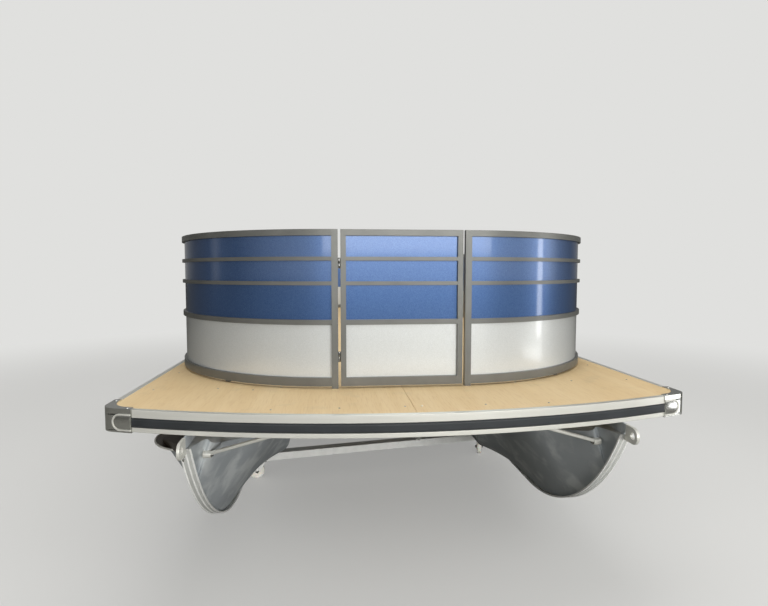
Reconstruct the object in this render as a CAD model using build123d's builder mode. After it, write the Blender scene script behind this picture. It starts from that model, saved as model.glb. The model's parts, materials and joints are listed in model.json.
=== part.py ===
from build123d import *
from math import cos, radians, sin, sqrt, tan
import os

# A pontoon boat on its dolly, as it stands in the workshop: two tubes with raked noses, a plywood
# deck with a bowed front, and a railing of framed panels with gates at the bow, port side and stern.
# Millimetres. X points to port, Y aft and Z up. The origin is on the floor, midway between the
# outermost points ahead and astern and between the two sides.

# Deck
overall_length = 6600
sheet_width = 1220            # a plywood sheet, two of them side by side
sheet_length = 2440
sheet_thick = 19
sheet_seam = 1.5
edge_depth = 30               # from the deck's outermost line to the plywood's edge
bow_round = 215               # how far the front bows ahead of its two corners
deck_height = 930
edge_height = 90
top_lip = 32
bottom_lip = 19
edge_wall = 6
rub_proud = 4                 # how far the rub rail stands out of its channel
rub_chamfer = 6
cap_size = 130
cap_over = 3                  # how far a corner casting stands above and below the edge
cap_rounding = 64
boss_from_corner = 80         # the boss's middle, along the edge from the corner
cap_groove_radius = 35        # the groove round the boss where the rub rail ends
cap_groove_width = 7
cap_groove_depth = 6

# Cross-members under the deck
member_height = 60
member_width = 42
member_wall = 4
member_pitch = 406
first_member = 120            # from the very front
last_member = 155             # from the stern edge

# Tubes
tube_radius = 305
tube_offset = 895             # from the centre line to a tube's own centre plane
keel_height = 180             # the keel strip's underside above the floor
strip_thick = 8
strip_width = 46
ridge_width = 5
ridge_height = 3
tube_short = 50               # the tubes end this far ahead of the deck's stern edge
tube_chamfer = 30
stem_rake = 58                # slope of the stem's straight part, degrees
stem_radius = 1113
keel_start = 876              # where the stem's arc runs into the keel, aft of the bow corners

# The nose's two flanks. Columns: place aft of the bow corners, rise over half width
flank_slopes = [
    (-150, 4.2),
    (-68, 4.0),
    (25, 2.9),
    (118, 2.2),
    (218, 1.9),
    (314, 1.6),
    (480, 1.48),
    (780, 1.28),
    (1000, 0.86),
    (1200, 0.52),
    (1420, 0.25),
    (1650, 0.07),
]
# The nose's top is a cone with its tip at the stem's head
cone_start = -122             # the tip, aft of the bow corners
cone_drop = 5                 # the tip, below the tube's top
cone_half_angle = 31
cone_tilt = 30
cone_reach = 650              # where the cone has left the tube

# Brackets between tubes and cross-members
riser_width = 150
riser_wall = 5
riser_start = 640
riser_short = 160

# Bow eyes and braces
eye_thick = 12
eye_radius = 34
eye_hole = 15
eye_reach = 180               # the hole's centre ahead of the bow corners
seat_gap = 0.3
brace_radius = 8
brace_low_y = 25
brace_low_height = 530
brace_low_inset = 48
brace_high_x = 500
brace_pad = 46

# Railing
fence_inset = 30              # from the deck's outermost line to the railing's outer faces
fence_setback = 246           # its front face aft of the bow corners
bow_corner = 940              # radius of the railing's bow corners
stern_corner = 140
stern_platform = 560          # deck left bare behind the railing
frame_depth = 30
post_width = 30
fence_height = 740
top_rail = 29
rail_skin_set = 14            # the skins lie this far behind the frames' outer faces
skin_thick = 2
foot_gap = 11                 # under the bottom rail
bottom_rail = 40
thin_rail = 18
thin_rail_heights = [605, 491]
split_rail = 24
split_height = 310            # where the blue sheet meets the silver one
stud_width = 26
stud_pitch = 720
stud_angles = [38, 70]
panel_gap = 2

# Gates
gate_opening = 600
gate_gap = 12
stile_width = 25
side_gate_y = 330             # the side gate's centre, aft of midships
knuckle_radius = 6.5
knuckle_length = 24
pin_radius = 3
pin_clearance = 0.3
hinge_leaf = 3
hinge_leaf_width = 30
hinge_heights = [120, 560]
latch_height = 420
latch_length = 70
latch_width = 18
latch_depth = 14

# Motor pod and transom
pod_reach = 330               # the transom's top behind the stern edge
pod_width = 560
pod_length = 1150
pod_bottom = 470
pod_nose_rise = 210
transom_rake = 12
transom_thick = 44
transom_width = 640
transom_top = 900
transom_bottom = 430
transom_rounding = 60

# Dolly
bar_height = 50
bar_width = 80
bar_wall = 4
bar_length = 2080
bar_bow_y = 1689              # the bow bar's middle, aft of the bow corners
bar_stern_y = 1150            # the stern bar's middle, ahead of the stern edge
caster_x = 840
wheel_radius = 52
wheel_width = 30
hub_radius = 17
hub_clearance = 0.5
axle_radius = 6
axle_clearance = 0.3
caster_trail = 34
cheek_gap = 20                # from the wheel's middle plane to a cheek's inner face
cheek_thick = 4
cheek_radius = 15
crown_clear = 6               # from the tread up to the fork's crown
crown_thick = 5
swivel_radius = 24
plate_size = 74
plate_thick = 4

# Each caster: name, side (1 is port), which bar, and the way its wheel trails, in degrees from +X
casters = [
    ("bow_starboard", -1, "bow", 190),
    ("bow_port", 1, "bow", 75),
    ("stern_starboard", -1, "stern", 110),
    ("stern_port", 1, "stern", 40),
]
bar_skew = {"bow": 10, "stern": 0}

# Places worked out from the sizes above
beam = 2 * (sheet_width + edge_depth)
sheet_corner = cap_size - edge_depth
fence_half = beam / 2 - fence_inset
bow_y = -overall_length / 2
corner_y = bow_y + bow_round
stern_y = overall_length / 2 - pod_reach
bow_radius = ((beam / 2) ** 2 + bow_round ** 2) / (2 * bow_round)
member_top = deck_height - sheet_thick
member_bottom = member_top - member_height
edge_bottom = deck_height - edge_height
rub_top = deck_height - top_lip
rub_bottom = edge_bottom + bottom_lip
tube_bottom = keel_height + strip_thick
tube_middle = tube_bottom + tube_radius
nose_start = flank_slopes[0][0]
nose_length = flank_slopes[-1][0]
nose_end = corner_y + nose_length
tube_end = stern_y - tube_short
fence_front = corner_y + fence_setback
fence_rear = stern_y - stern_platform
gate_half = gate_opening / 2 - gate_gap
hinge_u = gate_opening / 2 - gate_gap / 2
hinge_w = frame_depth + hinge_leaf / 2 + knuckle_radius - 1
bar_bottom = keel_height - bar_height
bar_y = {"bow": corner_y + bar_bow_y, "stern": stern_y - bar_stern_y}

os.makedirs("parts", exist_ok=True)


def save(part, name):
    """Label a finished piece and write it."""
    part.label = name
    export_step(part, f"parts/{name}.step")


def half_width(y, inset):
    """Half the deck's width at y, measured to a line that runs inset inside its edge."""
    side = beam / 2 - inset
    reach = bow_y + bow_radius - y
    bowed = (bow_radius - inset) ** 2 - reach ** 2
    return min(side, sqrt(bowed)) if reach > 0 else side


def deck_plan(inset):
    """The deck's plan, drawn inset inside its outermost line: bowed front, straight sides."""
    side = beam / 2 - inset
    centre = bow_y + bow_radius
    front = centre - sqrt((bow_radius - inset) ** 2 - side ** 2)
    with BuildSketch() as plan:
        with BuildLine():
            arc = ThreePointArc((-side, front), (0, bow_y + inset), (side, front))
            Polyline(arc @ 1, (side, stern_y - inset), (-side, stern_y - inset), arc @ 0)
        make_face()
    return plan.sketch


def deck_ring(low, high, outer, inner):
    """A ring along the deck's edge, between two heights and two insets."""
    with BuildPart() as ring:
        with BuildSketch(Plane.XY.offset(low)):
            add(deck_plan(outer))
            add(deck_plan(inner), mode=Mode.SUBTRACT)
        extrude(amount=high - low)
    return ring.part


def deck_slab(low, high):
    """The plywood's whole area with its rounded corners, between two heights."""
    with BuildPart() as slab:
        with BuildSketch(Plane.XY.offset(low)) as plan:
            add(deck_plan(edge_depth))
            fillet(plan.vertices(), sheet_corner)
        extrude(amount=high - low)
    return slab.part


def cut_corners():
    """Take the castings' places out of a ring, which leaves its four lengths."""
    for side in (-1, 1):
        for y in (corner_y, stern_y):
            with Locations((side * beam / 2, y, deck_height)):
                Box(2 * cap_size, 2 * cap_size, 3 * edge_height, mode=Mode.SUBTRACT)


# Edge extrusion: a channel with a deep top lip and a shallow bottom lip
with BuildPart() as edge_rails:
    add(deck_ring(rub_top, deck_height, rub_proud, edge_depth))
    add(deck_ring(edge_bottom, rub_bottom, rub_proud, edge_depth))
    add(deck_ring(rub_bottom, rub_top, edge_depth - edge_wall, edge_depth))
    cut_corners()
save(edge_rails.part, "edge_rails")


def on_deck_edge(edge):
    """True for a level edge that lies on the deck's outermost line."""
    point = edge @ 0.5
    level = abs(edge.bounding_box().size.Z) < 0.01
    radius = sqrt(point.X ** 2 + (point.Y - bow_y - bow_radius) ** 2)
    bowed = abs(radius - bow_radius) < 0.01 and point.Y < corner_y
    straight = abs(abs(point.X) - beam / 2) < 0.01 or abs(point.Y - stern_y) < 0.01
    return level and (bowed or straight)


# Rub rail: a rubber strip that fills the channel and stands a little proud of it
with BuildPart() as rub_rails:
    add(deck_ring(rub_bottom, rub_top, 0, edge_depth - edge_wall))
    cut_corners()
    chamfer(rub_rails.edges().filter_by(on_deck_edge), rub_chamfer)
save(rub_rails.part, "rub_rails")

# Where the castings' bosses are. Columns: middle on the outer face, that face's normal, the way
# along it to the rub rail
boss_height = (rub_top + rub_bottom) / 2
cap_faces = []
for side in (-1, 1):
    boss_x = side * (beam / 2 - boss_from_corner)
    bow_reach = sqrt(bow_radius ** 2 - boss_x ** 2)
    out = Vector(boss_x, -bow_reach, 0).normalized()
    bow_boss = (boss_x, bow_y + bow_radius - bow_reach, boss_height)
    cap_faces.append((bow_boss, out, Vector(0, 0, side).cross(out)))
    cap_faces.append(((boss_x, stern_y, boss_height), Vector(0, 1, 0), Vector(-side, 0, 0)))
    for y, along in ((corner_y + boss_from_corner, 1), (stern_y - boss_from_corner, -1)):
        side_boss = (side * beam / 2, y, boss_height)
        cap_faces.append((side_boss, Vector(side, 0, 0), Vector(0, along, 0)))


def boss_outline(radius):
    """A boss that is round at its outer end and runs on to the rub rail."""
    with BuildSketch() as outline:
        Circle(radius)
        with Locations((cap_size / 2, 0)):
            Rectangle(cap_size, 2 * radius)
    return outline.sketch


# Corner castings: they follow the edge outside and the plywood's rounded corner inside
with BuildPart() as corner_caps:
    add(deck_ring(edge_bottom - cap_over, deck_height + cap_over, 0, 2 * edge_depth))
    add(deck_slab(edge_bottom - 2 * cap_over, deck_height + 2 * cap_over), mode=Mode.SUBTRACT)
    with Locations((0, 0, deck_height)):
        Box(beam - 2 * cap_size, 2 * overall_length, 3 * edge_height, mode=Mode.SUBTRACT)
    with Locations((0, (corner_y + stern_y) / 2, deck_height)):
        Box(2 * beam, stern_y - corner_y - 2 * cap_size, 3 * edge_height, mode=Mode.SUBTRACT)
    uprights = corner_caps.edges().filter_by(Axis.Z)
    outer = [uprights.sort_by_distance((side * beam / 2, y, deck_height - edge_height / 2))[0]
             for side in (-1, 1) for y in (corner_y, stern_y)]
    fillet(outer, cap_rounding)
    for middle, out, along in cap_faces:
        with BuildSketch(Plane(origin=middle, x_dir=along, z_dir=out)):
            add(boss_outline(cap_groove_radius))
            add(boss_outline(cap_groove_radius - cap_groove_width), mode=Mode.SUBTRACT)
        extrude(amount=-cap_groove_depth, mode=Mode.SUBTRACT)
save(corner_caps.part, "corner_caps")

# Plywood: sheets laid lengthwise, two abreast, cut to the bowed front
with BuildPart() as deck_sheets:
    add(deck_slab(member_top, deck_height))
    with Locations((0, 0, member_top)):
        Box(sheet_seam, 2 * overall_length, 3 * sheet_thick, mode=Mode.SUBTRACT)
    seam_y = bow_y + edge_depth + sheet_length
    while seam_y < stern_y - edge_depth - member_pitch:
        with Locations((0, seam_y, member_top)):
            Box(2 * beam, sheet_seam, 3 * sheet_thick, mode=Mode.SUBTRACT)
        seam_y += sheet_length
save(deck_sheets.part, "deck_sheets")

# Cross-members: channels that open aft, each as long as the deck is wide where it lies
member_span = stern_y - last_member - bow_y - first_member
member_count = round(member_span / member_pitch) + 1
with BuildPart() as cross_members:
    for index in range(member_count):
        y = bow_y + first_member + index * member_span / (member_count - 1)
        reach = half_width(y - member_width / 2, edge_depth)
        with BuildSketch(Plane.YZ.offset(-reach)):
            with Locations((y, member_top - member_height / 2)):
                Rectangle(member_width, member_height)
            with Locations((y + member_wall, member_top - member_height / 2)):
                Rectangle(member_width, member_height - 2 * member_wall, mode=Mode.SUBTRACT)
        extrude(amount=2 * reach)
save(cross_members.part, "cross_members")


def stem_point(height, out):
    """The y of the stem's straight part at a height above the tube's bottom, out ahead of the hull."""
    foot_y = keel_start - (stem_radius + out) * sin(radians(stem_rake))
    foot_height = stem_radius - (stem_radius + out) * cos(radians(stem_rake))
    return corner_y + foot_y - (height - foot_height) / tan(radians(stem_rake))


def stem_path(out, top, end):
    """The side view of stem and keel, moved out from the hull: a slope, an arc and a level run."""
    slope = radians(stem_rake)
    middle = (corner_y + keel_start, tube_bottom + stem_radius)
    radius = stem_radius + out
    foot = (middle[0] - radius * sin(slope), middle[1] - radius * cos(slope))
    half = (middle[0] - radius * sin(slope / 2), middle[1] - radius * cos(slope / 2))
    level = (middle[0], middle[1] - radius)
    line = Line((stem_point(top, out), tube_bottom + top), foot)
    ThreePointArc(foot, half, level)
    tail = Line(level, (end, level[1]))
    return line @ 0, tail @ 1


def strip_face(inner, outer, top, end):
    """The side view of a strip that lies along stem and keel between two distances from the hull."""
    with BuildSketch() as strip:
        with BuildLine():
            near_start, near_end = stem_path(inner, top, end)
            far_start, far_end = stem_path(outer, top, end)
            Line(near_start, far_start)
            Line(near_end, far_end)
        make_face()
    return strip.sketch


def keel_rise(y):
    """How high the stem and keel line lies above the tube's bottom, y aft of the bow corners."""
    foot = keel_start - stem_radius * sin(radians(stem_rake))
    if y >= keel_start:
        return 0
    if y >= foot:
        return stem_radius - sqrt(stem_radius ** 2 - (keel_start - y) ** 2)
    return stem_radius * (1 - cos(radians(stem_rake))) + (foot - y) * tan(radians(stem_rake))


def flank_section(keel, slope):
    """A section of the space between the flanks: a keel point and two sides that rise from it."""
    reach = 1.3 * tube_radius
    top = 8 * tube_radius
    with BuildSketch() as section:
        with BuildLine():
            Polyline((0, keel), (reach, keel + slope * reach), (reach, top), (-reach, top),
                     (-reach, keel + slope * reach), close=True)
        make_face()
    return section.sketch


def across(x, y, z):
    """A plane across the boat, whose own X is X and whose own Y is up; its normal points ahead."""
    return Plane(origin=(x, y, z), x_dir=(1, 0, 0), z_dir=(0, -1, 0))


strip_end = tube_end - tube_chamfer
stem_top = 2 * tube_radius - 4
brace_y = bow_y + first_member
keels = []
bow_eyes = []
risers = []
for side_name, side in (("port", 1), ("starboard", -1)):
    middle_x = side * tube_offset

    # Pontoon: a tube whose nose is narrowed by a tilted cone above and by two flanks below. The
    # flanks are lofted a little deep and cut back to the stem's exact line for the band.
    with BuildPart() as flanks:
        for y, slope in flank_slopes:
            with BuildSketch(across(middle_x, corner_y + y, tube_bottom)):
                add(flank_section(keel_rise(y) - ridge_height, slope))
        loft()
    tip = (middle_x, corner_y + cone_start, tube_bottom + 2 * tube_radius - cone_drop)
    cone_way = (0, cos(radians(cone_tilt)), -sin(radians(cone_tilt)))
    with BuildPart() as pontoon:
        with BuildSketch(across(middle_x, corner_y + nose_start, tube_middle)):
            Circle(tube_radius)
        extrude(amount=-(cone_reach - nose_start))
        with Locations(Plane(origin=tip, x_dir=(1, 0, 0), z_dir=cone_way)):
            Cone(0, 2 * cone_reach * tan(radians(cone_half_angle)), 2 * cone_reach,
                 align=(Align.CENTER, Align.CENTER, Align.MIN), mode=Mode.INTERSECT)
        with BuildSketch(across(middle_x, corner_y + cone_reach, tube_middle)):
            Circle(tube_radius)
        extrude(amount=-(nose_length - cone_reach))
        add(flanks.part, mode=Mode.INTERSECT)
        with BuildSketch(across(middle_x, nose_end, tube_middle)):
            Circle(tube_radius)
        extrude(amount=-(tube_end - nose_end))
        chamfer(pontoon.faces().sort_by(Axis.Y)[-1].edges(), tube_chamfer)
        with BuildSketch(Plane.YZ.offset(middle_x - beam / 4)):
            add(strip_face(0, beam / 4, 2 * tube_radius, nose_end))
        extrude(amount=beam / 2, mode=Mode.SUBTRACT)
    save(pontoon.part, f"pontoon_{side_name}")

    # Stem band and keel strip, one extrusion with three ridges bent along the nose
    with BuildPart() as keel:
        with BuildSketch(Plane.YZ.offset(middle_x - strip_width / 2)):
            add(strip_face(0, strip_thick - ridge_height, stem_top, strip_end))
        extrude(amount=strip_width)
        for place in (-1, 0, 1):
            ridge_x = middle_x + place * (strip_width - ridge_width) / 2
            with BuildSketch(Plane.YZ.offset(ridge_x - ridge_width / 2)):
                add(strip_face(strip_thick - ridge_height, strip_thick, stem_top, strip_end))
            extrude(amount=ridge_width)
    keels.append(keel.part)

    # Bow eye: a plate ahead of the stem's top, under the deck's edge
    eye_y = corner_y - eye_reach
    eye_z = edge_bottom - seat_gap - eye_radius
    eye_low = eye_z - eye_radius
    with BuildPart() as bow_eye:
        with BuildSketch(Plane.YZ.offset(middle_x - eye_thick / 2)):
            low_y = stem_point(eye_low - tube_bottom, strip_thick)
            high_y = stem_point(stem_top, strip_thick)
            with BuildLine():
                Polyline((eye_y, eye_low), (low_y, eye_low), (high_y, tube_bottom + stem_top),
                         (high_y, eye_z + eye_radius), (eye_y, eye_z + eye_radius), close=True)
            make_face()
            with Locations((eye_y, eye_z)):
                Circle(eye_radius)
                Circle(eye_hole, mode=Mode.SUBTRACT)
        extrude(amount=eye_thick)
    bow_eyes.append(bow_eye.part)

    # Riser: a hat section that stands on the tube and carries the cross-members
    with BuildPart() as riser:
        with BuildSketch(across(middle_x, corner_y + riser_start, member_bottom)):
            with Locations((0, -tube_radius / 2)):
                Rectangle(riser_width, tube_radius)
                Rectangle(riser_width - 2 * riser_wall, tube_radius, mode=Mode.SUBTRACT)
            with Locations((0, -riser_wall / 2)):
                Rectangle(riser_width, riser_wall)
        extrude(amount=-(tube_end - riser_short - corner_y - riser_start))
        add(pontoon.part, mode=Mode.SUBTRACT)
        below = riser.solids().sort_by(Axis.Z)[:-1]
        add(below, mode=Mode.SUBTRACT)
    risers.append(riser.part)

for name, pair in (("keels", keels), ("bow_eyes", bow_eyes), ("risers", risers)):
    save(Compound(children=pair), name)

# Braces: a rod from each nose's inner face up to the first cross-member
with BuildPart() as nose_braces:
    for side in (-1, 1):
        low = Vector(side * (tube_offset - brace_low_inset), corner_y + brace_low_y,
                     tube_bottom + brace_low_height)
        high = Vector(side * brace_high_x, brace_y, member_bottom - brace_radius)
        with BuildSketch(Plane(origin=low, z_dir=high - low)):
            Circle(brace_radius)
        extrude(amount=(high - low).length)
        with Locations((high.X, high.Y, member_bottom - brace_radius / 2)):
            Box(brace_pad, member_width, brace_radius)
        with Locations(Location(low, (0, 90, 0))):
            Cylinder(2 * brace_radius, 4 * brace_radius)
    for name in ("port", "starboard"):
        add(import_step(f"parts/pontoon_{name}.step"), mode=Mode.SUBTRACT)
save(nose_braces.part, "nose_braces")

# Motor pod: a closed box between the tubes, its bottom sloping up to a fine entry
rake = tan(radians(transom_rake))
pod_front = stern_y - pod_length
transom_face = stern_y + pod_reach - transom_thick * cos(radians(transom_rake))


def pod_face(z):
    """The y of the pod's raked rear face at height z."""
    return transom_face - (transom_top - z) * rake


with BuildPart() as motor_pod:
    with BuildSketch(Plane.YZ.offset(-pod_width / 2)):
        with BuildLine():
            Polyline((pod_front, member_bottom), (pod_front, member_bottom - member_height),
                     (pod_front + pod_length / 3, pod_bottom), (pod_face(pod_bottom), pod_bottom),
                     (pod_face(member_top), member_top), (stern_y + seat_gap, member_top),
                     (stern_y + seat_gap, edge_bottom - seat_gap),
                     (stern_y - edge_depth, edge_bottom - seat_gap),
                     (stern_y - edge_depth, member_bottom), close=True)
        make_face()
    extrude(amount=pod_width)
save(motor_pod.part, "motor_pod")

# Transom: a thick plate on the pod's raked rear face, for an outboard's clamps and bolts
with BuildPart() as transom:
    foot = (0, pod_face(transom_bottom), transom_bottom)
    rise = (transom_top - transom_bottom) / cos(radians(transom_rake))
    with BuildSketch(Plane(origin=foot, x_dir=(1, 0, 0), z_dir=(0, -1, rake))) as plate:
        Rectangle(transom_width, rise, align=(Align.CENTER, Align.MIN))
        fillet(plate.vertices().group_by(Axis.Y)[-1], transom_rounding)
    extrude(amount=-transom_thick)
save(transom.part, "transom")


def fence_plan(inset):
    """The railing's plan, drawn inset inside its outer faces, with round bow and stern corners."""
    side = fence_half - inset
    front = fence_front + inset
    rear = fence_rear - inset
    bow = bow_corner - inset
    stern = stern_corner - inset
    with BuildSketch() as plan:
        with BuildLine():
            Line((-(side - bow), front), (side - bow, front))
            CenterArc((side - bow, front + bow), bow, -90, 90)
            Line((side, front + bow), (side, rear - stern))
            CenterArc((side - stern, rear - stern), stern, 0, 90)
            Line((side - stern, rear), (-(side - stern), rear))
            CenterArc((-(side - stern), rear - stern), stern, 90, 90)
            Line((-side, rear - stern), (-side, front + bow))
            CenterArc((-(side - bow), front + bow), bow, 180, 90)
        make_face()
    return plan.sketch


def fence_band(low, high, outer, inner):
    """A band that runs all round the railing, between two heights above the deck and two insets."""
    with BuildPart() as band:
        with BuildSketch(Plane.XY.offset(deck_height + low)):
            add(fence_plan(outer))
            add(fence_plan(inner), mode=Mode.SUBTRACT)
        extrude(amount=high - low)
    return band.part


# Rails, the same on panels and gates. Columns: lowest, highest, how deep behind the outer face
rails = [
    (fence_height - top_rail, fence_height, frame_depth),
    (foot_gap, foot_gap + bottom_rail, frame_depth),
    (split_height - split_rail / 2, split_height + split_rail / 2, rail_skin_set),
]
for height in thin_rail_heights:
    rails.append((height - thin_rail / 2, height + thin_rail / 2, rail_skin_set))

# Skins: the lower silver sheet and the upper blue one. Columns: name, lowest, highest
skins = [
    ("lower_skin", foot_gap + bottom_rail, split_height - seat_gap / 2),
    ("upper_skin", split_height + seat_gap / 2, fence_height - top_rail),
]


def box_between(low, high, mode=Mode.ADD):
    """A box between two corners."""
    span = Vector(high) - Vector(low)
    with Locations(Vector(low) + span / 2):
        Box(span.X, span.Y, span.Z, mode=mode)


def hinge_half(wall, bottom, toward):
    """Half a hinge on a wall's inner side: a knuckle and its leaf, towards +1 gate or -1 post."""
    with BuildPart() as half:
        foot = Plane(origin=wall.from_local_coords(Vector(-hinge_u, bottom, -hinge_w)),
                     x_dir=wall.x_dir, z_dir=(0, 0, 1))
        with BuildSketch(foot):
            Circle(knuckle_radius)
            with Locations((toward * hinge_leaf_width / 2, -(hinge_w - frame_depth - hinge_leaf / 2))):
                Rectangle(hinge_leaf_width, hinge_leaf)
        extrude(amount=knuckle_length)
    return half.part


def post_hinges(wall):
    """The lower halves of a gate's hinges, with their pins."""
    with BuildPart() as hinges:
        for height in hinge_heights:
            add(hinge_half(wall, height, -1))
            foot = wall.from_local_coords(Vector(-hinge_u, height + knuckle_length / 2, -hinge_w))
            with Locations(foot):
                Cylinder(pin_radius, 1.5 * knuckle_length - seat_gap,
                         align=(Align.CENTER, Align.CENTER, Align.MIN))
    return hinges.part


# The walls that hold a gate: their outer faces, seen from outside, with the gate's middle as origin
gate_walls = {
    "bow": Plane(origin=(0, fence_front, deck_height), x_dir=(1, 0, 0), z_dir=(0, -1, 0)),
    "port": Plane(origin=(fence_half, side_gate_y, deck_height), x_dir=(0, 1, 0), z_dir=(1, 0, 0)),
    "stern": Plane(origin=(0, fence_rear, deck_height), x_dir=(-1, 0, 0), z_dir=(0, 1, 0)),
}

# Fixed panels. Columns: name, side (1 is port), forward end, after end, gate whose hinges it carries.
# The two sides' panels meet at the port gate's posts and, to starboard, at a pair of posts.
half_gate = gate_opening / 2
joint_y = side_gate_y + half_gate
far = overall_length
panels = [
    ("bow_port", 1, -far, side_gate_y - half_gate, "port"),
    ("bow_starboard", -1, -far, joint_y - panel_gap / 2, "bow"),
    ("aft_port", 1, side_gate_y + half_gate, far, "stern"),
    ("aft_starboard", -1, joint_y + panel_gap / 2, far, None),
]
straight_start = fence_front + bow_corner
straight_end = fence_rear - stern_corner
stud_skin = rail_skin_set + skin_thick

for name, side, fore, aft, hinged in panels:
    at_bow = fore == -far
    inner = half_gate
    outer = fence_half
    end_face = fence_front if at_bow else fence_rear - frame_depth
    side_post = aft - post_width if at_bow else fore
    low_corner = (min(side * inner, side * 2 * outer), max(fore, 2 * bow_y), 0)
    high_corner = (max(side * inner, side * 2 * outer), min(aft, -2 * bow_y), 2 * deck_height)

    # Frame: rails all along, a post at each end, and studs behind the skin
    with BuildPart() as frame:
        for low, high, depth in rails:
            add(fence_band(low, high, 0, depth))
        box_between(low_corner, high_corner, Mode.INTERSECT)
        posts = [
            ((side * (inner + post_width / 2), end_face + frame_depth / 2), 0),
            ((side * (outer - frame_depth / 2), side_post + post_width / 2), 90),
        ]
        for (x, y), turn in posts:
            with Locations(Location((x, y, deck_height), (0, 0, turn))):
                Box(post_width, frame_depth, fence_height, align=(Align.CENTER, Align.CENTER, Align.MIN))
        stud_depth = frame_depth - stud_skin
        stud_rise = fence_height - top_rail
        run_start = straight_start if at_bow else fore + post_width
        run_end = aft - post_width if at_bow else straight_end
        stud_count = max(1, round((run_end - run_start) / stud_pitch))
        places = []
        for index in range(stud_count):
            y = run_start + (index + 0.5) * (run_end - run_start) / stud_count
            places.append((outer - stud_skin - stud_depth / 2, y, 90))
        if at_bow:
            for angle in stud_angles:
                crown = stud_width ** 2 / (8 * (bow_corner - stud_skin))
                reach = bow_corner - stud_skin - stud_depth / 2 - crown
                places.append((outer - bow_corner + reach * sin(radians(angle)),
                               fence_front + bow_corner - reach * cos(radians(angle)), angle))
        for x, y, turn in places:
            with Locations(Location((side * x, y, deck_height), (0, 0, side * turn))):
                Box(stud_width, stud_depth, stud_rise, align=(Align.CENTER, Align.CENTER, Align.MIN))
        if hinged:
            add(post_hinges(gate_walls[hinged]))
    save(frame.part, f"frame_{name}")

    # Skins: thin sheets behind the outer rails and in front of the studs
    skin_low = (min(side * (inner + post_width), side * 2 * outer),
                low_corner[1] if at_bow else fore + post_width, 0)
    skin_high = (max(side * (inner + post_width), side * 2 * outer),
                 aft - post_width if at_bow else high_corner[1], 2 * deck_height)
    for skin_name, low, high in skins:
        with BuildPart() as skin:
            add(fence_band(low, high, rail_skin_set, stud_skin))
            box_between(skin_low, skin_high, Mode.INTERSECT)
        save(skin.part, f"{skin_name}_{name}")

for name, wall in gate_walls.items():
    # Gate: a framed panel that hangs in the opening with a gap all round
    with BuildPart() as gate:
        for low, high, depth in rails:
            with BuildSketch(wall):
                with Locations((0, (low + high) / 2)):
                    Rectangle(2 * gate_half, high - low)
            extrude(amount=-depth)
        for end in (-1, 1):
            with BuildSketch(wall):
                with Locations((end * (gate_half - stile_width / 2), (foot_gap + fence_height) / 2)):
                    Rectangle(stile_width, fence_height - foot_gap)
            extrude(amount=-frame_depth)
        for height in hinge_heights:
            bottom = height + knuckle_length + seat_gap
            add(hinge_half(wall, bottom, 1))
            with Locations(wall.from_local_coords(Vector(-hinge_u, bottom, -hinge_w))):
                Cylinder(pin_radius + pin_clearance, knuckle_length,
                         align=(Align.CENTER, Align.CENTER, Align.MIN), mode=Mode.SUBTRACT)
        inside = Plane(origin=wall.from_local_coords(Vector(0, 0, -frame_depth)),
                       x_dir=wall.x_dir, z_dir=wall.z_dir)
        with BuildSketch(inside):
            with Locations((gate_half - latch_width, latch_height)):
                Rectangle(latch_width, latch_length)
        extrude(amount=-latch_depth)
    save(gate.part, f"gate_{name}")

    # The gate's skins lie as deep behind the outer face as the panels' do
    for skin_name, low, high in skins:
        with BuildPart() as skin:
            behind = Plane(origin=wall.from_local_coords(Vector(0, 0, -rail_skin_set)),
                           x_dir=wall.x_dir, z_dir=wall.z_dir)
            with BuildSketch(behind):
                with Locations((0, (low + high) / 2)):
                    Rectangle(2 * (gate_half - stile_width), high - low)
            extrude(amount=-skin_thick)
        save(skin.part, f"{skin_name}_gate_{name}")

# Dolly: two cross bars of square tube under the keels, each on two casters
swivel_bottom = 2 * wheel_radius + crown_clear + crown_thick
with BuildPart() as dolly_bars:
    for name, skew in bar_skew.items():
        end = Plane(origin=(0, bar_y[name], bar_bottom + bar_height / 2)).rotated((0, 0, skew))
        across_bar = Plane(origin=end.origin, x_dir=end.y_dir, z_dir=end.x_dir)
        with BuildSketch(across_bar):
            Rectangle(bar_width, bar_height)
            Rectangle(bar_width - 2 * bar_wall, bar_height - 2 * bar_wall, mode=Mode.SUBTRACT)
        extrude(amount=bar_length / 2, both=True)
    for name, side, bar, heading in casters:
        foot = (side * caster_x, bar_y[bar] + side * caster_x * tan(radians(bar_skew[bar])))
        with Locations(Location((*foot, bar_bottom), (0, 0, bar_skew[bar]))):
            Box(plate_size, plate_size, plate_thick, align=(Align.CENTER, Align.CENTER, Align.MAX))
        with Locations((*foot, swivel_bottom + seat_gap)):
            Cylinder(swivel_radius, bar_bottom - plate_thick - swivel_bottom - seat_gap,
                     align=(Align.CENTER, Align.CENTER, Align.MIN))
save(dolly_bars.part, "dolly_bars")

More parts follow.
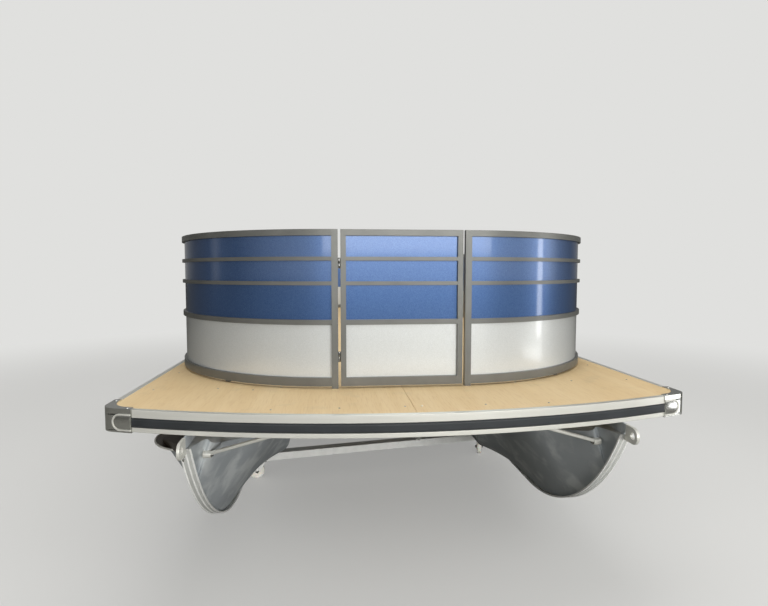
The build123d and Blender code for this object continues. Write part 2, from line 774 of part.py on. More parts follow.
for name, side, bar, heading in casters:
    foot = Vector(side * caster_x, bar_y[bar] + side * caster_x * tan(radians(bar_skew[bar])), 0)
    trail = Vector(cos(radians(heading)), sin(radians(heading)), 0)
    axle = foot + trail * caster_trail + Vector(0, 0, wheel_radius)
    side_on = Plane(origin=axle, x_dir=trail, z_dir=trail.cross(Vector(0, 0, 1)))
    crown_low = 2 * wheel_radius + crown_clear - wheel_radius
    outer_cheek = cheek_gap + cheek_thick

    # Caster fork: a crown under the swivel, two tapered cheeks, and the axle through the wheel
    with BuildPart() as fork:
        for place in (cheek_gap, -outer_cheek):
            with BuildSketch(side_on.offset(place)):
                with BuildLine():
                    Polyline((-caster_trail - swivel_radius, crown_low),
                             (-caster_trail + swivel_radius, crown_low), (cheek_radius, 0),
                             (0, -cheek_radius), (-cheek_radius, 0), close=True)
                make_face()
                Circle(cheek_radius)
            extrude(amount=cheek_thick)
        with BuildSketch(side_on.offset(-outer_cheek)):
            with Locations((-caster_trail, crown_low + crown_thick / 2)):
                Rectangle(2 * swivel_radius, crown_thick)
        extrude(amount=2 * outer_cheek)
        with BuildSketch(side_on.offset(-outer_cheek)):
            Circle(axle_radius)
        extrude(amount=2 * outer_cheek)
    save(fork.part, f"caster_fork_{name}")

    # Caster wheel: a solid nylon wheel with a hub boss
    with BuildPart() as wheel:
        with BuildSketch(side_on.offset(-wheel_width / 2)):
            Circle(wheel_radius)
        extrude(amount=wheel_width)
        with BuildSketch(side_on.offset(-cheek_gap + hub_clearance)):
            Circle(hub_radius)
        extrude(amount=2 * (cheek_gap - hub_clearance))
        with BuildSketch(side_on.offset(-cheek_gap)):
            Circle(axle_radius + axle_clearance)
        extrude(amount=2 * cheek_gap, mode=Mode.SUBTRACT)
    save(wheel.part, f"caster_wheel_{name}")
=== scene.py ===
import json
from math import cos, pi, radians, sin, sqrt, tan

import bmesh
import bpy
from mathutils import Matrix, Vector


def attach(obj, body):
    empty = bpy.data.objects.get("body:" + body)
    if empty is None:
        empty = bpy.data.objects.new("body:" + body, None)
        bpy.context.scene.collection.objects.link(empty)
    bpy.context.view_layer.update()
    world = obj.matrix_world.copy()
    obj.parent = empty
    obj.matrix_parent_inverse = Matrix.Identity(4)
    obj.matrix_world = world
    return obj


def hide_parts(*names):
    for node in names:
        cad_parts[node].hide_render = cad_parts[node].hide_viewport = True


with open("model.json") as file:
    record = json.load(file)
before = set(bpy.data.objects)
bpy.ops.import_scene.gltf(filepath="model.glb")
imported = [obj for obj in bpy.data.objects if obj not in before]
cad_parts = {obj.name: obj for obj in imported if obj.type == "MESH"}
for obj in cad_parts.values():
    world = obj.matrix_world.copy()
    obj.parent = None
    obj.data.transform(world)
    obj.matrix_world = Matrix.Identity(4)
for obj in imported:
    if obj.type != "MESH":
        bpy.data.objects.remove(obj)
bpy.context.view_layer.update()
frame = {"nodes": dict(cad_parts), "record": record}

# A pontoon boat on its dolly. Metres. X points to port, Y aft and Z up, with the floor at 0.

# Camera, as fitted to the photograph
camera_place = (-0.3205, -5.2089, 1.4799)
camera_yaw = 5.6246           # degrees towards port
camera_pitch = -3.6197
camera_lens = 24.03           # on a 36 mm wide sensor

# Sizes of the solids that the pieces here sit on
corner_y = -3.085
stern_y = 2.970
bow_y = -3.300
half_beam = 1.250
deck_top = 0.930
tube_offset = 0.895
tube_radius = 0.305
tube_middle = 0.493
nose_end = -1.435
tube_end = 2.920

# Each nose's outer side takes painted shade, dark brown for the deck's shadow, outside, above and ahead of
# these
painted_shade_inside = tube_offset + 0.008
painted_shade_foot = 0.665
painted_shade_rear = -2.53


def shade(hex_colour):
    """A colour written as sRGB hex, as the linear numbers that shaders take."""
    channels = [int(hex_colour[i:i + 2], 16) / 255 for i in (1, 3, 5)]
    linear = [c / 12.92 if c <= 0.04045 else ((c + 0.055) / 1.055) ** 2.4 for c in channels]
    return (*linear, 1.0)


def add_node(tree, kind, settings=None, links=None):
    """Add a node, set its own options and sockets, and link the sockets that feed it."""
    node = tree.nodes.new(kind)
    for key, value in (settings or {}).items():
        if isinstance(key, str) and hasattr(node, key):
            setattr(node, key, value)
        else:
            node.inputs[key].default_value = value
    for key, source in (links or {}).items():
        tree.links.new(source, node.inputs[key])
    return node


def start_material(name):
    """A new material, its node tree, the Object coordinates that its patterns lie in, and the socket that
    takes its shader."""
    material = bpy.data.materials.new(name)
    material.use_nodes = True
    tree = material.node_tree
    tree.nodes.clear()
    place = add_node(tree, "ShaderNodeTexCoord").outputs["Object"]
    return material, tree, place, add_node(tree, "ShaderNodeOutputMaterial").inputs["Surface"]


def make_blue_sheet():
    """Aluminium sheet coil-coated in metallic blue under clear lacquer. The flake gives the blue its
    depth, the lacquer mirrors what is round it, and the sheet's slow ripples draw that into streaks."""
    material, tree, place, surface = start_material("coil_coated_blue_sheet")
    upright = add_node(tree, "ShaderNodeMapping", {"Scale": (1, 1, 0.1)}, {"Vector": place})
    ripple = add_node(tree, "ShaderNodeTexNoise", {"Scale": 1 / 0.22, "Detail": 1.0},
                      {"Vector": upright.outputs[0]})
    # Real flake is under 0.1 mm; it is drawn at 2.5 mm so that it shows as a faint sparkle
    flake = add_node(tree, "ShaderNodeTexVoronoi", {"Scale": 1 / 0.0025}, {"Vector": place})
    blues = add_node(tree, "ShaderNodeMix", {"data_type": "RGBA", 6: shade("#3B598A"), 7: shade("#5674A3")},
                     {0: flake.outputs["Color"]})
    height = add_node(tree, "ShaderNodeBump", {"Strength": 0.8, "Distance": 0.0012},
                      {"Height": ripple.outputs[0]})
    paint = add_node(tree, "ShaderNodeBsdfPrincipled",
                     {"Metallic": 0.75, "Roughness": 0.33, "Coat Weight": 1.0, "Coat Roughness": 0.08},
                     {"Base Color": blues.outputs[2], "Normal": height.outputs[0]})
    tree.links.new(paint.outputs[0], surface)
    return material


def make_silver_sheet():
    """The same kind of sheet in light silver: paler flake, a little less lacquer, and shorter ripples."""
    material, tree, place, surface = start_material("coil_coated_silver_sheet")
    upright = add_node(tree, "ShaderNodeMapping", {"Scale": (1, 1, 0.25)}, {"Vector": place})
    ripple = add_node(tree, "ShaderNodeTexNoise", {"Scale": 1 / 0.18, "Detail": 1.5},
                      {"Vector": upright.outputs[0]})
    flake = add_node(tree, "ShaderNodeTexVoronoi", {"Scale": 1 / 0.0025}, {"Vector": place})
    silvers = add_node(tree, "ShaderNodeMix",
                       {"data_type": "RGBA", 6: shade("#C1C4C3"), 7: shade("#D0D3D3")},
                       {0: flake.outputs["Color"]})
    height = add_node(tree, "ShaderNodeBump", {"Strength": 0.9, "Distance": 0.0016},
                      {"Height": ripple.outputs[0]})
    paint = add_node(tree, "ShaderNodeBsdfPrincipled",
                     {"Metallic": 0.45, "Roughness": 0.32, "Coat Weight": 0.8, "Coat Roughness": 0.07},
                     {"Base Color": silvers.outputs[2], "Normal": height.outputs[0]})
    tree.links.new(paint.outputs[0], surface)
    return material


def make_frame_coat():
    """Aluminium tube powder-coated in metallic grey: satin, with a faint orange peel, and a little paler
    where dust lies."""
    material, tree, place, surface = start_material("powder_coated_grey_tube")
    peel = add_node(tree, "ShaderNodeTexNoise", {"Scale": 1 / 0.003, "Detail": 2.0}, {"Vector": place})
    dust = add_node(tree, "ShaderNodeTexNoise", {"Scale": 1 / 0.12, "Detail": 4.0}, {"Vector": place})
    greys = add_node(tree, "ShaderNodeMix", {"data_type": "RGBA", 6: shade("#636461"), 7: shade("#7C7C78")},
                     {0: dust.outputs[0]})
    height = add_node(tree, "ShaderNodeBump", {"Strength": 0.25, "Distance": 0.0002},
                      {"Height": peel.outputs[0]})
    paint = add_node(tree, "ShaderNodeBsdfPrincipled", {"Metallic": 0.55, "Roughness": 0.36},
                     {"Base Color": greys.outputs[2], "Normal": height.outputs[0]})
    tree.links.new(paint.outputs[0], surface)
    return material


def make_edge_metal():
    """Anodised extrusion: bright and satin, with fine die lines that run along it."""
    material, tree, place, surface = start_material("anodised_edge_extrusion")
    # Real die lines are under 0.5 mm apart; they are drawn at about 2.4 mm so that they show
    level = add_node(tree, "ShaderNodeMapping", {"Scale": (0.4, 0.4, 420)}, {"Vector": place})
    lines = add_node(tree, "ShaderNodeTexNoise", {"Scale": 1.0, "Detail": 3.0}, {"Vector": level.outputs[0]})
    wipes = add_node(tree, "ShaderNodeTexNoise", {"Scale": 1 / 0.2, "Detail": 3.0}, {"Vector": place})
    gloss = add_node(tree, "ShaderNodeMapRange", {"To Min": 0.24, "To Max": 0.42},
                     {"Value": wipes.outputs[0]})
    tones = add_node(tree, "ShaderNodeMix", {"data_type": "RGBA", 6: shade("#D0CFC6"), 7: shade("#E2E1DA")},
                     {0: lines.outputs[0]})
    height = add_node(tree, "ShaderNodeBump", {"Strength": 0.2, "Distance": 0.0003},
                      {"Height": lines.outputs[0]})
    metal = add_node(tree, "ShaderNodeBsdfPrincipled", {"Metallic": 0.5},
                     {"Base Color": tones.outputs[2], "Roughness": gloss.outputs[0],
                      "Normal": height.outputs[0]})
    tree.links.new(metal.outputs[0], surface)
    return material


def make_casting():
    """Sand-cast aluminium, polished: a slightly pebbled mirror with darker pits."""
    material, tree, place, surface = start_material("polished_sand_casting")
    # Moulding sand is under 0.5 mm; its marks are drawn at 4 mm so that they show
    pebble = add_node(tree, "ShaderNodeTexNoise", {"Scale": 1 / 0.004, "Detail": 3.0}, {"Vector": place})
    tones = add_node(tree, "ShaderNodeMix", {"data_type": "RGBA", 6: shade("#D6D8D4"), 7: shade("#F6F6F2")},
                     {0: pebble.outputs[0]})
    height = add_node(tree, "ShaderNodeBump", {"Strength": 0.35, "Distance": 0.0004},
                      {"Height": pebble.outputs[0]})
    metal = add_node(tree, "ShaderNodeBsdfPrincipled", {"Metallic": 1.0, "Roughness": 0.17},
                     {"Base Color": tones.outputs[2], "Normal": height.outputs[0]})
    tree.links.new(metal.outputs[0], surface)
    return material


def make_hull_sheet():
    """Mill-finish aluminium sheet, rolled and welded: dull, clouded by oxide and handling, with paler
    rubbed patches and fine scratches that run around the tube. Each nose's outer side is painted dark
    brown above its rim, as painted shade for the deck's shadow."""
    material, tree, place, surface = start_material("mill_finish_hull_sheet")
    clouds = add_node(tree, "ShaderNodeTexNoise", {"Scale": 1 / 0.22, "Detail": 6.0, "Roughness": 0.6},
                      {"Vector": place})
    smears = add_node(tree, "ShaderNodeMapping", {"Scale": (1, 1, 0.8)}, {"Vector": place})
    rubbed = add_node(tree, "ShaderNodeTexNoise", {"Scale": 1 / 0.12, "Detail": 6.0, "Distortion": 0.3},
                      {"Vector": smears.outputs[0]})
    # Real scratches are under 0.5 mm wide; they are drawn at 2 mm so that they show
    round_tube = add_node(tree, "ShaderNodeMapping", {"Scale": (1, 60, 1)}, {"Vector": place})
    scratches = add_node(tree, "ShaderNodeTexNoise", {"Scale": 1 / 0.12, "Detail": 2.0},
                         {"Vector": round_tube.outputs[0]})
    dull = add_node(tree, "ShaderNodeMix", {"data_type": "RGBA", 6: shade("#9CA2A6"), 7: shade("#BDC2C5")},
                    {0: clouds.outputs[0]})
    patch = add_node(tree, "ShaderNodeMapRange", {"From Min": 0.5, "From Max": 0.64, "To Max": 0.8},
                     {"Value": rubbed.outputs[0]})
    tones = add_node(tree, "ShaderNodeMix", {"data_type": "RGBA", 7: shade("#D0D4D4")},
                     {0: patch.outputs[0], 6: dull.outputs[2]})
    apart = add_node(tree, "ShaderNodeSeparateXYZ", links={0: place})
    outward = add_node(tree, "ShaderNodeMath", {"operation": "ABSOLUTE"}, {0: apart.outputs[0]})
    outer = add_node(tree, "ShaderNodeMapRange",
                     {"From Min": painted_shade_inside - 0.004, "From Max": painted_shade_inside + 0.004},
                     {"Value": outward.outputs[0]})
    above = add_node(tree, "ShaderNodeMapRange",
                     {"From Min": painted_shade_foot - 0.003, "From Max": painted_shade_foot + 0.003},
                     {"Value": apart.outputs[2]})
    ahead = add_node(tree, "ShaderNodeMapRange",
                     {"From Min": painted_shade_rear + 0.03, "From Max": painted_shade_rear - 0.03},
                     {"Value": apart.outputs[1]})
    corner = add_node(tree, "ShaderNodeMath", {"operation": "MULTIPLY"},
                      {0: outer.outputs[0], 1: above.outputs[0]})
    painted_shade_part = add_node(tree, "ShaderNodeMath", {"operation": "MULTIPLY"},
                              {0: corner.outputs[0], 1: ahead.outputs[0]})
    # Painted shade: dark brown on each nose's upper outer side, for the shadow under the deck
    sheet = add_node(tree, "ShaderNodeMix", {"data_type": "RGBA", 7: shade("#3F382F")},
                     {0: painted_shade_part.outputs[0], 6: tones.outputs[2]})
    gloss = add_node(tree, "ShaderNodeMapRange", {"To Min": 0.4, "To Max": 0.56},
                     {"Value": clouds.outputs[0]})
    height = add_node(tree, "ShaderNodeBump", {"Strength": 0.25, "Distance": 0.0005},
                      {"Height": scratches.outputs[0]})
    metal = add_node(tree, "ShaderNodeBsdfPrincipled", {"Metallic": 0.5},
                     {"Base Color": sheet.outputs[2], "Roughness": gloss.outputs[0],
                      "Normal": height.outputs[0]})
    tree.links.new(metal.outputs[0], surface)
    return material


def make_band_metal():
    """The bent extrusion on stem and keel: dull between its three ridges, whose crests are paler and
    glossier, partly rubbed bright and partly painted highlight.
    """
    material, tree, place, surface = start_material("band_extrusion_worn_and_highlit_crests")
    apart = add_node(tree, "ShaderNodeSeparateXYZ", links={0: place})
    outward = add_node(tree, "ShaderNodeMath", {"operation": "ABSOLUTE"}, {0: apart.outputs[0]})
    across_band = add_node(tree, "ShaderNodeMath", {"operation": "SUBTRACT", 1: tube_offset},
                           {0: outward.outputs[0]})
    spacing = 0.0205              # from ridge to ridge
    ridges = add_node(tree, "ShaderNodeMath", {"operation": "PINGPONG", 1: spacing / 2},
                      {0: across_band.outputs[0]})
    crest_wear_and_highlight = add_node(tree, "ShaderNodeMapRange", {"From Min": 0.0042, "From Max": 0.0026},
                     {"Value": ridges.outputs[0]})
    smudges = add_node(tree, "ShaderNodeTexNoise", {"Scale": 1 / 0.04, "Detail": 4.0}, {"Vector": place})
    dull = add_node(tree, "ShaderNodeMix", {"data_type": "RGBA", 6: shade("#B9BAB6"), 7: shade("#D6D7D3")},
                    {0: smudges.outputs[0]})
    # Paler crests: partly real rubbing, partly painted highlight along the ridges
    tones = add_node(tree, "ShaderNodeMix", {"data_type": "RGBA", 7: shade("#FBFBF8")},
                     {0: crest_wear_and_highlight.outputs[0], 6: dull.outputs[2]})
    gloss = add_node(tree, "ShaderNodeMapRange", {"To Min": 0.46, "To Max": 0.28},
                     {"Value": crest_wear_and_highlight.outputs[0]})
    metal = add_node(tree, "ShaderNodeBsdfPrincipled", {"Metallic": 0.35},
                     {"Base Color": tones.outputs[2], "Roughness": gloss.outputs[0]})
    tree.links.new(metal.outputs[0], surface)
    return material


def make_painted_shade_plate():
    """Plate under the deck: dull, in dark brown-grey that is painted shade for the deck's shadow and the
    plywood it mirrors, with darker stains.
    """
    material, tree, place, surface = start_material("dark_plate_painted_shade")
    stains = add_node(tree, "ShaderNodeTexNoise", {"Scale": 1 / 0.06, "Detail": 5.0}, {"Vector": place})
    tones = add_node(tree, "ShaderNodeMix", {"data_type": "RGBA", 6: shade("#4A4238"), 7: shade("#6A6052")},
                     {0: stains.outputs[0]})
    metal = add_node(tree, "ShaderNodeBsdfPrincipled", {"Metallic": 0.8, "Roughness": 0.4},
                     {"Base Color": tones.outputs[2]})
    tree.links.new(metal.outputs[0], surface)
    return material


def make_mill_metal():
    """Mill-finish extrusion and plate: paler and more even than the hull sheet, with light smudges."""
    material, tree, place, surface = start_material("mill_finish_extrusion")
    smudges = add_node(tree, "ShaderNodeTexNoise", {"Scale": 1 / 0.05, "Detail": 4.0}, {"Vector": place})
    tones = add_node(tree, "ShaderNodeMix", {"data_type": "RGBA", 6: shade("#C9CAC7"), 7: shade("#E9E9E5")},
                     {0: smudges.outputs[0]})
    gloss = add_node(tree, "ShaderNodeMapRange", {"To Min": 0.3, "To Max": 0.48},
                     {"Value": smudges.outputs[0]})
    metal = add_node(tree, "ShaderNodeBsdfPrincipled", {"Metallic": 0.9},
                     {"Base Color": tones.outputs[2], "Roughness": gloss.outputs[0]})
    tree.links.new(metal.outputs[0], surface)
    return material


def make_rubber():
    """Extruded black rubber: soft sheen, faint lengthwise drag lines and a dusty bloom."""
    material, tree, place, surface = start_material("extruded_black_rubber")
    # Real drag lines are under 1 mm apart; they are drawn at about 3 mm so that they show
    level = add_node(tree, "ShaderNodeMapping", {"Scale": (1, 1, 160)}, {"Vector": place})
    drag = add_node(tree, "ShaderNodeTexNoise", {"Scale": 2.0, "Detail": 2.0}, {"Vector": level.outputs[0]})
    bloom = add_node(tree, "ShaderNodeTexNoise", {"Scale": 1 / 0.15, "Detail": 4.0}, {"Vector": place})
    tones = add_node(tree, "ShaderNodeMix", {"data_type": "RGBA", 6: shade("#1C1E1F"), 7: shade("#34373A")},
                     {0: bloom.outputs[0]})
    height = add_node(tree, "ShaderNodeBump", {"Strength": 0.3, "Distance": 0.0003},
                      {"Height": drag.outputs[0]})
    rubber = add_node(tree, "ShaderNodeBsdfPrincipled", {"Roughness": 0.42},
                      {"Base Color": tones.outputs[2], "Normal": height.outputs[0]})
    tree.links.new(rubber.outputs[0], surface)
    return material


def make_plywood():
    """Bare sanded softwood plywood: pale tan, long straight grain, broad paler and darker streaks,
    small knots, and grey scuffs from boots."""
    material, tree, place, surface = start_material("sanded_plywood")
    along = add_node(tree, "ShaderNodeMapping", {"Scale": (1, 0.06, 1)}, {"Vector": place})
    # Real growth lines are 2 to 4 mm apart; they are drawn at 6 mm so that they show
    grain = add_node(tree, "ShaderNodeTexNoise", {"Scale": 1 / 0.006, "Detail": 3.0, "Distortion": 0.3},
                     {"Vector": along.outputs[0]})
    streak = add_node(tree, "ShaderNodeTexNoise", {"Scale": 1 / 0.06, "Detail": 2.0, "Distortion": 0.6},
                      {"Vector": along.outputs[0]})
    veneer = add_node(tree, "ShaderNodeMix", {"data_type": "RGBA", 6: shade("#DDBE8C"), 7: shade("#EDD5A9")},
                      {0: streak.outputs[0]})
    line = add_node(tree, "ShaderNodeMapRange", {"From Min": 0.5, "From Max": 0.75, "To Max": 0.35},
                    {"Value": grain.outputs[0]})
    lined = add_node(tree, "ShaderNodeMix", {"data_type": "RGBA", 7: shade("#C49C66")},
                     {0: line.outputs[0], 6: veneer.outputs[2]})
    long_knots = add_node(tree, "ShaderNodeMapping", {"Scale": (1, 0.5, 1)}, {"Vector": place})
    knots = add_node(tree, "ShaderNodeTexVoronoi", {"Scale": 1 / 0.35}, {"Vector": long_knots.outputs[0]})
    knot = add_node(tree, "ShaderNodeMapRange", {"From Min": 0.045, "From Max": 0.02, "To Max": 0.6},
                    {"Value": knots.outputs["Distance"]})
    knotted = add_node(tree, "ShaderNodeMix", {"data_type": "RGBA", 7: shade("#9A6B3C")},
                       {0: knot.outputs[0], 6: lined.outputs[2]})
    scuffs = add_node(tree, "ShaderNodeTexNoise", {"Scale": 1 / 0.18, "Detail": 6.0, "Roughness": 0.65},
                      {"Vector": place})
    scuff = add_node(tree, "ShaderNodeMapRange", {"From Min": 0.58, "From Max": 0.78, "To Max": 0.3},
                     {"Value": scuffs.outputs[0]})
    scuffed = add_node(tree, "ShaderNodeMix", {"data_type": "RGBA", 7: shade("#A89A80")},
                       {0: scuff.outputs[0], 6: knotted.outputs[2]})
    height = add_node(tree, "ShaderNodeBump", {"Strength": 0.25, "Distance": 0.0005},
                      {"Height": grain.outputs[0]})
    wood = add_node(tree, "ShaderNodeBsdfPrincipled", {"Roughness": 0.62},
                    {"Base Color": scuffed.outputs[2], "Normal": height.outputs[0]})
    tree.links.new(wood.outputs[0], surface)
    return material


def make_dolly_paint():
    """Light grey paint on steel tube: satin, scuffed, and worn to darker metal in small chips."""
    material, tree, place, surface = start_material("light_grey_steel_paint")
    scuffs = add_node(tree, "ShaderNodeTexNoise", {"Scale": 1 / 0.05, "Detail": 5.0}, {"Vector": place})
    tones = add_node(tree, "ShaderNodeMix", {"data_type": "RGBA", 6: shade("#D3D4D0"), 7: shade("#ECECE8")},
                     {0: scuffs.outputs[0]})
    chips = add_node(tree, "ShaderNodeTexNoise", {"Scale": 1 / 0.012, "Detail": 2.0}, {"Vector": place})
    chip = add_node(tree, "ShaderNodeMapRange", {"From Min": 0.72, "From Max": 0.76, "To Max": 0.7},
                    {"Value": chips.outputs[0]})
    chipped = add_node(tree, "ShaderNodeMix", {"data_type": "RGBA", 7: shade("#5E5B57")},
                       {0: chip.outputs[0], 6: tones.outputs[2]})
    paint = add_node(tree, "ShaderNodeBsdfPrincipled", {"Metallic": 0.15, "Roughness": 0.45},
                     {"Base Color": chipped.outputs[2]})
    tree.links.new(paint.outputs[0], surface)
    return material


def make_nylon():
    """Moulded white nylon: waxy, slightly warm, with grey dirt pressed into the tread."""
    material, tree, place, surface = start_material("moulded_white_nylon")
    dirt = add_node(tree, "ShaderNodeTexNoise", {"Scale": 1 / 0.02, "Detail": 5.0}, {"Vector": place})
    tones = add_node(tree, "ShaderNodeMix", {"data_type": "RGBA", 6: shade("#EFEDE4"), 7: shade("#CFCCC1")},
                     {0: dirt.outputs[0]})
    nylon = add_node(tree, "ShaderNodeBsdfPrincipled",
                     {"Roughness": 0.38, "Subsurface Weight": 0.1, "Subsurface Scale": 0.004},
                     {"Base Color": tones.outputs[2]})
    tree.links.new(nylon.outputs[0], surface)
    return material


def make_stainless():
    """Turned and rolled stainless steel, as on hinges, bolts and rivets: bright, with fine turning lines."""
    material, tree, place, surface = start_material("stainless_fittings")
    # Real turning lines are under 0.2 mm apart; they are drawn at 2 mm so that they show
    turning = add_node(tree, "ShaderNodeTexNoise", {"Scale": 1 / 0.002, "Detail": 2.0}, {"Vector": place})
    gloss = add_node(tree, "ShaderNodeMapRange", {"To Min": 0.14, "To Max": 0.3},
                     {"Value": turning.outputs[0]})
    metal = add_node(tree, "ShaderNodeBsdfPrincipled",
                     {"Base Color": shade("#CFCFCC"), "Metallic": 1.0}, {"Roughness": gloss.outputs[0]})
    tree.links.new(metal.outputs[0], surface)
    return material


def make_weld():
    """Aluminium weld bead: pale and rippled, with a grey bloom of heat beside the crests."""
    material, tree, place, surface = start_material("aluminium_weld_bead")
    bloom = add_node(tree, "ShaderNodeTexNoise", {"Scale": 1 / 0.01, "Detail": 3.0}, {"Vector": place})
    tones = add_node(tree, "ShaderNodeMix", {"data_type": "RGBA", 6: shade("#A3A6A7"), 7: shade("#D5D7D7")},
                     {0: bloom.outputs[0]})
    metal = add_node(tree, "ShaderNodeBsdfPrincipled", {"Metallic": 0.95, "Roughness": 0.34},
                     {"Base Color": tones.outputs[2]})
    tree.links.new(metal.outputs[0], surface)
    return material


finishes = {
    "blue_skin": make_blue_sheet(),
    "silver_skin": make_silver_sheet(),
    "frame_paint": make_frame_coat(),
    "edge_aluminium": make_edge_metal(),
    "cast_aluminium": make_casting(),
    "hull_aluminium": make_hull_sheet(),
    "mill_aluminium": make_mill_metal(),
    "rub_rubber": make_rubber(),
    "plywood": make_plywood(),
    "dolly_steel": make_dolly_paint(),
    "wheel_nylon": make_nylon(),
}
band_metal = make_band_metal()
shaded_plate_finish = make_painted_shade_plate()
stainless = make_stainless()
weld_metal = make_weld()


# CAD nodes take the finish of the slot that the record gives them
slot_of = {}
for piece in frame["record"]["subparts"]:
    slot_of[piece["node"]] = piece["material_slot"]
    frame["nodes"][piece["node"]].material_slots[0].material = finishes[piece["material_slot"]]
body_of = {}
for body, members in frame["record"]["behaviour"]["bodies"].items():
    for member in members:
        body_of[member] = body


def pick(kind, test):
    """In edit mode, select the vertices, edges or faces that pass a test, and nothing else."""
    bpy.ops.mesh.select_mode(type=kind)
    bpy.ops.mesh.select_all(action="DESELECT")
    mesh = bpy.context.object.data
    shape = bmesh.from_edit_mesh(mesh)
    for part in {"VERT": shape.verts, "EDGE": shape.edges, "FACE": shape.faces}[kind]:
        if test(part):
            part.select_set(True)
    shape.select_flush_mode()
    bmesh.update_edit_mesh(mesh)


def centre(edge):
    """The middle of an edge."""
    return (edge.verts[0].co + edge.verts[1].co) / 2


def is_corner(edge, least=35):
    """True for an edge where two faces meet at a clear angle."""
    return edge.is_manifold and edge.calc_face_angle(0) > radians(least)


def open_edit(piece):
    """Make a piece the only one selected and open it in edit mode with all of it selected."""
    bpy.ops.object.select_all(action="DESELECT")
    piece.select_set(True)
    bpy.context.view_layer.objects.active = piece
    bpy.ops.object.mode_set(mode="EDIT")
    bpy.ops.mesh.select_all(action="SELECT")


def begin(add_primitive, **place):
    """Add a primitive at its size and place, fix its scale, and open it in edit mode."""
    bpy.ops.object.select_all(action="DESELECT")
    add_primitive(**place)
    bpy.ops.object.transform_apply(location=True, rotation=True, scale=True)
    bpy.ops.object.mode_set(mode="EDIT")
    bpy.ops.mesh.select_all(action="SELECT")
    return bpy.context.object


def face_outwards():
    """In edit mode, turn all faces outwards."""
    bpy.ops.mesh.select_all(action="SELECT")
    bpy.ops.mesh.normals_make_consistent(inside=False)


def end_edit(smooth=30):
    """Leave edit mode with smooth shading up to an angle in degrees."""
    bpy.ops.object.mode_set(mode="OBJECT")
    bpy.ops.object.shade_smooth_by_angle(angle=radians(smooth))
    return bpy.context.object


def settle(piece, name, finish, body):
    """Name a piece, give it its finish, and let it ride its body."""
    piece.name = name
    piece.data.name = name
    piece.data.materials.clear()
    piece.data.materials.append(finish)
    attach(piece, body)
    return piece


def turned(point, out, along=None):
    """The matrix that sets a model down at a point, its +Z outwards and its +X along."""
    out = Vector(out).normalized()
    if along is None:
        along = (0, 0, 1) if abs(out.z) < 0.9 else (1, 0, 0)
    side = out.cross(Vector(along)).normalized()
    turn = Matrix((side.cross(out), side, out)).transposed().to_4x4()
    return Matrix.Translation(point) @ turn


def repeat(model, places, name, finish, body, keep=False):
    """Copies of a model at places, each with its own mesh, joined as one piece. The model goes, unless
    it is kept for more."""
    bpy.ops.object.select_all(action="DESELECT")
    for place in places:
        copy = model.copy()
        copy.data = model.data.copy()
        copy.matrix_world = place
        bpy.context.collection.objects.link(copy)
        copy.select_set(True)
        bpy.context.view_layer.objects.active = copy
    bpy.ops.object.join()
    bpy.ops.object.transform_apply(location=True, rotation=True, scale=True)
    piece = settle(bpy.context.object, name, finish, body)
    if not keep:
        bpy.data.objects.remove(model)
    return piece


# Every solid but the casters' wheels is shown by a merged copy whose sharp edges are eased as the real
# ones are. Columns: how the nodes' names start, the easing in metres, its segments
eased = [
    (("frame_", "gate_"), 0.0025, 3),
    (("edge_rails", "corner_caps"), 0.0022, 3),
    (("rub_rails",), 0.002, 3),
    (("deck_sheets",), 0.0006, 1),
    (("pontoon_",), 0.003, 2),
    (("keels",), 0.0012, 2),
    (("bow_eyes",), 0.0016, 2),
    (("nose_braces",), 0.0015, 2),
    (("cross_members", "risers"), 0.001, 2),
    (("motor_pod", "transom"), 0.004, 3),
    (("dolly_bars",), 0.0014, 3),
    (("caster_fork_",), 0.0008, 2),
    (("lower_skin_", "upper_skin_"), 0.0004, 1),
]


def merged_copy(node):
    """A copy of a CAD node with its loose triangles merged into whole faces, in edit mode."""
    piece = bpy.data.objects.new(node + "_shown", frame["nodes"][node].data.copy())
    bpy.context.collection.objects.link(piece)
    open_edit(piece)
    bpy.ops.mesh.customdata_custom_splitnormals_clear()
    bpy.ops.mesh.remove_doubles(threshold=0.00002)
    bpy.ops.mesh.dissolve_limited(angle_limit=radians(0.4))
    return piece


# Sizes of the castings' faces, as on the solids
bow_radius = (half_beam ** 2 + (corner_y - bow_y) ** 2) / (2 * (corner_y - bow_y))
boss_inset = 0.080
boss_height = 0.8785
boss_x = half_beam - boss_inset
boss_reach = sqrt(bow_radius ** 2 - boss_x ** 2)

# The grooves in the castings' bow faces: a little inside and outside their walls, a little under the
# face and over their floor, how far they run along the face, and a round that holds all their edges
groove_inner = 0.0270
groove_outer = 0.0360
groove_top = 0.0008
groove_floor = 0.0068
groove_run = 0.09
groove_round = 0.1


def bow_face(side):
    """Middle of a bow casting's boss, its face's normal, and the way along it to the rub rail."""
    out = Vector((side * boss_x, -boss_reach, 0)).normalized()
    middle = Vector((side * boss_x, bow_y + bow_radius - boss_reach, boss_height))
    return middle, out, out.cross(Vector((0, 0, side)))


# Nodes whose finish differs from that of their slot's other nodes
special = {
    "keels": band_metal,
    "bow_eyes": finishes["edge_aluminium"],
    "nose_braces": finishes["edge_aluminium"],
}


def close_bow_grooves():
    """In edit mode, close the grooves in the castings' bow faces, where raised rims are set instead."""
    for side in (-1, 1):
        middle, out, along = bow_face(side)

        def in_groove(face):
            way = face.calc_center_median() - middle
            u, v, deep = way.dot(along), way.z, -way.dot(out)
            off = abs(v) if u < 0 else sqrt(u * u + v * v)
            across = groove_inner < off < groove_outer
            return abs(u) < groove_run and across and groove_top < deep < groove_floor

        pick("FACE", in_groove)
        bpy.ops.mesh.delete(type="FACE")
        pick("EDGE", lambda edge: edge.is_boundary and (centre(edge) - middle).length < groove_round)
        bpy.ops.mesh.edge_face_add()
        face_outwards()


